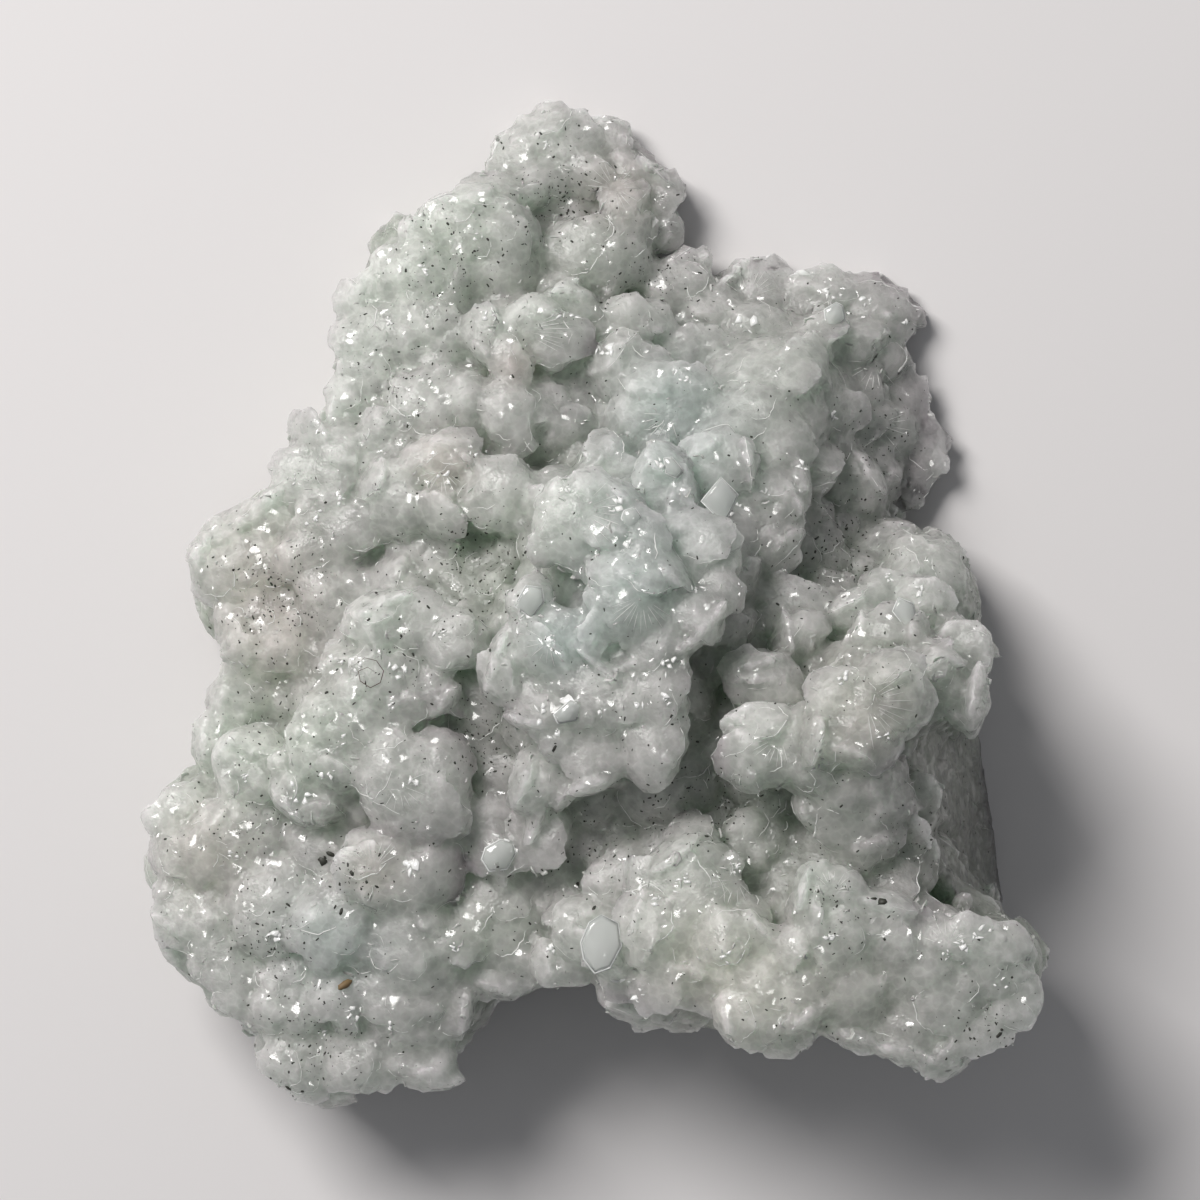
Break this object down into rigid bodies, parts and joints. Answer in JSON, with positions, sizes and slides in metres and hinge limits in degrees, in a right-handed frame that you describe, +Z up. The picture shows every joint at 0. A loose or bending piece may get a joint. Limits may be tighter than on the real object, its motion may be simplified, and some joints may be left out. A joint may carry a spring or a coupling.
{
  "type": "prehnite cluster",
  "caption": "Crust of pale grey-green prehnite in rounded, overlapping crystal knobs with pits and ridges between them and a flat underside to rest on.",
  "frame": {"origin": "centre of the bounding box in X and Y, on the flat underside that the crust rests on", "axes": "+Z up out of the knobs, +Y towards the narrow back end with the round summit knob, +X to the right"},
  "size_m": [0.063, 0.0704, 0.026],
  "materials": {
    "prehnite": "waxy, translucent, pale grey-green"
  },
  "bodies": {
    "root": {"prehnite_cluster": "prehnite"}
  },
  "joints": []
}
